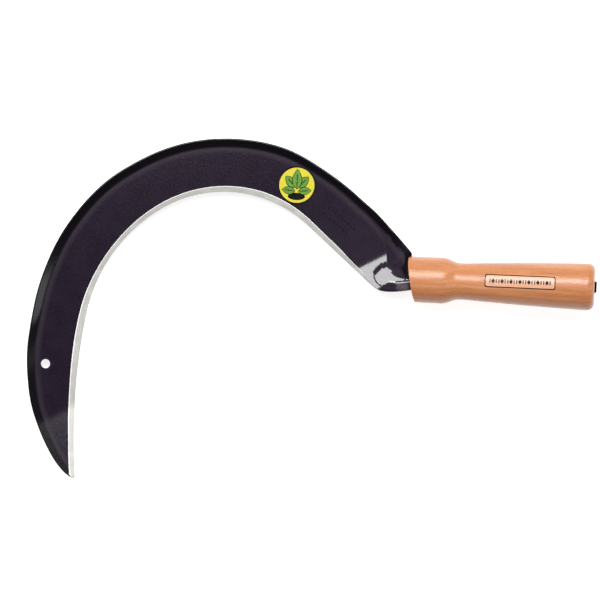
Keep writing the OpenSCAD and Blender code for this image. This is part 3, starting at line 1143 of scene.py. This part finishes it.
def make_panel():
    """A thin frame round a row of lozenges, each with a bar on both sides."""
    panel = rounded_patch(PANEL_LEN - 2 * PANEL_INSET, PANEL_W - 2 * PANEL_INSET, PANEL_CORNER)
    film = plate("panel_film", [panel], on_grip, -PANEL_FILM, PANEL_FILM, panel_film())
    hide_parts("handle_panel")
    outer = rounded_box(PANEL_LEN, PANEL_W, PANEL_CORNER)
    inner = [
        complex(p.real * (1 - 2 * FRAME_LINE / PANEL_LEN), p.imag * (1 - 2 * FRAME_LINE / PANEL_W))
        for p in outer
    ]
    shapes = [band(outer, inner)]
    for k in range(ORNAMENT_COUNT):
        x = ORNAMENT_PITCH * (k - (ORNAMENT_COUNT - 1) / 2)
        shapes.append(lozenge(x, ORNAMENT_W, ORNAMENT_H))
        for side in (-1, 1):
            bar = x + side * BAR_AT
            shapes.append(patch([bar - BAR_HALF, bar + BAR_HALF], lambda along: BAR_H / 2))
    low, high = PANEL_FILM - PRINT_SINK, PANEL_FILM + PRINT_RISE
    plate("panel_print", shapes, on_grip, low, high, INK_MATERIAL)


# ---- the stamped marks, drawn as thin dark shapes on the web ----

# two rows as (start, end, how many marks)
MARK_ROWS = ((-66.7 + 52.7j, -44.5 + 35.4j, 9), (-71 + 47.9j, -50.5 + 32.1j, 8))
MARK_H = 2.6
MARK_LINE = 0.45
MARK_SINK = 0.01
MARK_RISE = 0.025


def make_marks():
    """Two rows of plain ticks and lozenges in the place of lettering."""
    shapes = []
    for start, end, count in MARK_ROWS:
        along = (end - start) / abs(end - start)
        for k in range(count):
            p = mix(start, end, (k + 0.5) / count)
            half = 0.5 * MARK_H * along
            if k % 2:
                shapes.append(outlined(stroke(p - 1j * half, p + 1j * half, MARK_LINE)))
            else:
                outer = [p + half * turn for turn in (0.7, 1j, -0.7, -1j)]
                inner = [mix(p, q, 0.55) for q in outer]
                shapes.append(band(outer, inner))
    plate("blade_marks", shapes, on_web, -MARK_SINK, MARK_RISE, mark_lacquer())


# ---- the room ----

# the camera looks straight down: its height over the blade in metres, the point of the drawing
# under it, its roll in degrees, and its lens and sensor in millimetres
CAMERA_OVER = 1.5
CAMERA_FOOT = Vector((-84.67, -19.84, 0))
CAMERA_ROLL = 2.65
LENS = 117.6
SENSOR = 36
# half the floor's side, in metres
FLOOR = 6.0
# brightness of the room by the sine of the elevation
CEILING = ((0.0, 0.1), (0.5, 0.12), (0.75, 0.2), (0.88, 0.5), (0.95, 0.5), (0.985, 0.2), (0.999, 0.15))
# softboxes as (name, place, size, power), all turned to one point of the sickle, in metres
LIGHTS = (
    ("key", Vector((-0.1, 0.56, 1.2)), (1.0, 0.42), 24),
    ("side", Vector((1.3, -0.2, 0.5)), (0.6, 0.8), 3),
)
LIT_POINT = Vector((0.0, 0.03, 0.02))


def make_camera():
    """A long lens straight over the blade."""
    data = bpy.data.cameras.new("camera")
    data.lens = LENS
    data.sensor_width = SENSOR
    camera = bpy.data.objects.new("camera", data)
    camera.location = (CAMERA_FOOT + SHIFT) * MM + Vector((0, 0, CAMERA_OVER + BLADE_TOP * MM))
    camera.rotation_euler = Euler((0, 0, math.radians(CAMERA_ROLL)))
    bpy.context.scene.collection.objects.link(camera)
    bpy.context.scene.camera = camera


def make_lights():
    """A large softbox behind the crown, and a weak one beyond the butt."""
    for name, place, size, power in LIGHTS:
        data = bpy.data.lights.new(name, "AREA")
        data.shape = "RECTANGLE"
        data.size, data.size_y = size
        data.energy = power
        light = bpy.data.objects.new(name, data)
        light.location = place
        light.rotation_euler = (LIT_POINT - place).to_track_quat("-Z", "Y").to_euler()
        bpy.context.scene.collection.objects.link(light)


def make_floor():
    """A pale plane under the sickle."""
    corners = [(FLOOR * x, FLOOR * y, 0) for x, y in ((-1, -1), (1, -1), (1, 1), (-1, 1))]
    bm = new_bmesh(corners, [(0, 1, 2, 3)])
    mesh = bpy.data.meshes.new("floor")
    bm.to_mesh(mesh)
    bm.free()
    mesh.materials.append(pale_floor())
    floor = bpy.data.objects.new("floor", mesh)
    bpy.context.scene.collection.objects.link(floor)


def make_world():
    """A dim studio: dark at the sides, with a soft grey ceiling that the lacquer mirrors."""
    world = bpy.data.worlds.new("studio")
    world.use_nodes = True
    tree = world.node_tree
    sky = tree.nodes["Background"]
    way = tree.nodes.new("ShaderNodeTexCoord")
    parts = tree.nodes.new("ShaderNodeSeparateXYZ")
    ramp = tree.nodes.new("ShaderNodeValToRGB")
    tree.links.new(way.outputs["Generated"], parts.inputs["Vector"])
    tree.links.new(parts.outputs["Z"], ramp.inputs["Fac"])
    tree.links.new(ramp.outputs["Color"], sky.inputs["Color"])
    elements = ramp.color_ramp.elements
    # a new ramp's own first and last stops go once the ceiling's are in
    for position, level in CEILING:
        element = elements.new(position)
        element.color = (level, level, level, 1)
    elements.remove(elements[0])
    elements.remove(elements[-1])
    bpy.context.scene.world = world


# ---- the scene ----

make_camera()
make_blade()
make_handle()
make_label()
make_panel()
make_marks()
make_floor()
make_world()
make_lights()
bpy.context.scene.view_settings.view_transform = "Standard"
